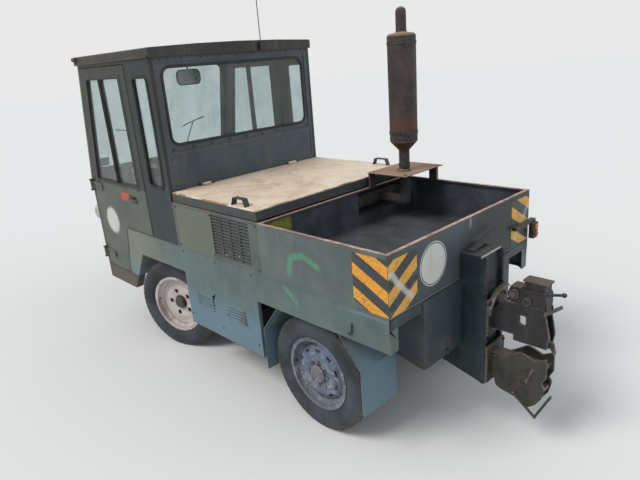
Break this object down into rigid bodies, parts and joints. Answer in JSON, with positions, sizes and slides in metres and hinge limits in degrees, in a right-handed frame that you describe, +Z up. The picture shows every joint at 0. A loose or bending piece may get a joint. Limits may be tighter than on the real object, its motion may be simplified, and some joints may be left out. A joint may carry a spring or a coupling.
{
  "type": "cab tow tractor with load bed and rear couplings",
  "caption": "Small cab tow tractor with steered front wheels, hinged doors and engine lid, open load bed, upright exhaust and two rear towing couplings.",
  "frame": {"origin": "on the ground under the middle of the whole machine's box", "axes": "+X forward, +Y to the driver's left, +Z up"},
  "size_m": [3.6919, 1.4442, 2.64],
  "materials": {
    "body_paint": "worn matt",
    "lower_paint": "scratched matt",
    "lid_paint": "faded and rusty",
    "sill_paint": "rusty",
    "chassis_paint": "dirty matt",
    "engine_iron": "oily",
    "cab_lining": "matt",
    "cab_glass": "dusty",
    "seat_cover": "worn",
    "wheel_grip": "worn",
    "exhaust_steel": "rusty",
    "tower_paint": "scratched matt",
    "coupling_iron": "greasy",
    "lamp_body": "faded",
    "lamp_glass": "clear",
    "handle_paint": "worn matt",
    "tyre_rubber": "dusty",
    "front_rim_paint": "chalky",
    "rear_rim_paint": "dusty"
  },
  "bodies": {
    "chassis": {"frame_rails": "chassis_paint", "bed_bearers": "chassis_paint", "bumper": "sill_paint", "front_axle": "chassis_paint", "rear_axle": "chassis_paint", "engine_block": "engine_iron", "lower_body_left": "lower_paint", "lower_body_right": "lower_paint", "cab_floor": "cab_lining", "cab_front": "body_paint", "cab_rear_wall": "body_paint", "quarter_left": "body_paint", "quarter_right": "body_paint", "cab_glass": "cab_glass", "roof": "body_paint", "seat": "seat_cover", "dash": "cab_lining", "cab_mirror": "wheel_grip", "engine_side_left": "lower_paint", "engine_side_right": "lower_paint", "bed": "lower_paint", "exhaust_pipe": "exhaust_steel", "exhaust_stack": "exhaust_steel", "tower": "tower_paint", "upper_coupling": "coupling_iron", "lower_coupling": "coupling_iron", "tail_lamp": "lamp_body", "headlamps": "lamp_glass", "antenna": "wheel_grip"},
    "knuckle_left": {"knuckle_left": "chassis_paint"},
    "knuckle_right": {"knuckle_right": "chassis_paint"},
    "tie_rod": {"tie_rod": "chassis_paint"},
    "front_wheel_left": {"tyre_front_left": "tyre_rubber", "rim_front_left": "front_rim_paint"},
    "front_wheel_right": {"tyre_front_right": "tyre_rubber", "rim_front_right": "front_rim_paint"},
    "rear_wheel_left": {"tyre_rear_left": "tyre_rubber", "rim_rear_left": "rear_rim_paint"},
    "rear_wheel_right": {"tyre_rear_right": "tyre_rubber", "rim_rear_right": "rear_rim_paint"},
    "door_left": {"door_left": "body_paint", "door_glass_left": "cab_glass"},
    "door_right": {"door_right": "body_paint", "door_glass_right": "cab_glass"},
    "engine_lid": {"engine_lid": "lid_paint", "lid_handles": "handle_paint"},
    "steering_wheel": {"steering_wheel": "wheel_grip"}
  },
  "joints": [
    {"name": "steer_left", "type": "hinge", "parent": "chassis", "child": "knuckle_left", "pos_m": [0.837, 0.45589, 0.345], "axis": [0, 0, 1], "range_deg": [-49, 15]},
    {"name": "steer_right", "type": "hinge", "parent": "chassis", "child": "knuckle_right", "pos_m": [0.837, -0.45411, 0.345], "axis": [0, 0, 1], "range_deg": [-49, 15]},
    {"name": "tie_rod_pivot", "type": "hinge", "parent": "knuckle_left", "child": "tie_rod", "pos_m": [0.71268, 0.41788, 0.27], "axis": [0, 0, 1], "range_deg": [-15, 49]},
    {"name": "steering_wheel_turn", "type": "hinge", "parent": "chassis", "child": "steering_wheel", "pos_m": [1.344, 0.30089, 1.18], "axis": [-0.342, 0, 0.9397], "range_deg": [-588, 180]},
    {"name": "wheel_front_left", "type": "hinge", "parent": "knuckle_left", "child": "front_wheel_left", "pos_m": [0.837, 0.45589, 0.345], "axis": [-0.2924, 0.9563, 0], "continuous": true},
    {"name": "wheel_front_right", "type": "hinge", "parent": "knuckle_right", "child": "front_wheel_right", "pos_m": [0.837, -0.45411, 0.345], "axis": [-0.2924, 0.9563, 0], "continuous": true},
    {"name": "wheel_rear_left", "type": "hinge", "parent": "chassis", "child": "rear_wheel_left", "pos_m": [-0.741, 0.56789, 0.345], "axis": [0, 1, 0], "continuous": true},
    {"name": "wheel_rear_right", "type": "hinge", "parent": "chassis", "child": "rear_wheel_right", "pos_m": [-0.741, -0.56611, 0.345], "axis": [0, 1, 0], "continuous": true},
    {"name": "door_left_hinge", "type": "hinge", "parent": "chassis", "child": "door_left", "pos_m": [1.742, 0.69489, 1.189], "axis": [0, 0, -1], "range_deg": [0, 75]},
    {"name": "door_right_hinge", "type": "hinge", "parent": "chassis", "child": "door_right", "pos_m": [1.742, -0.69311, 1.189], "axis": [0, 0, 1], "range_deg": [0, 75]},
    {"name": "lid_hinge", "type": "hinge", "parent": "chassis", "child": "engine_lid", "pos_m": [0.482, 0.00089, 1.272], "axis": [0, 1, 0], "range_deg": [0, 75]}
  ],
  "couplings": [
    {"joint": "steer_right", "follows": "steer_left", "ratio": 1},
    {"joint": "tie_rod_pivot", "follows": "steer_left", "ratio": -1},
    {"joint": "steering_wheel_turn", "follows": "steer_left", "ratio": 12}
  ]
}
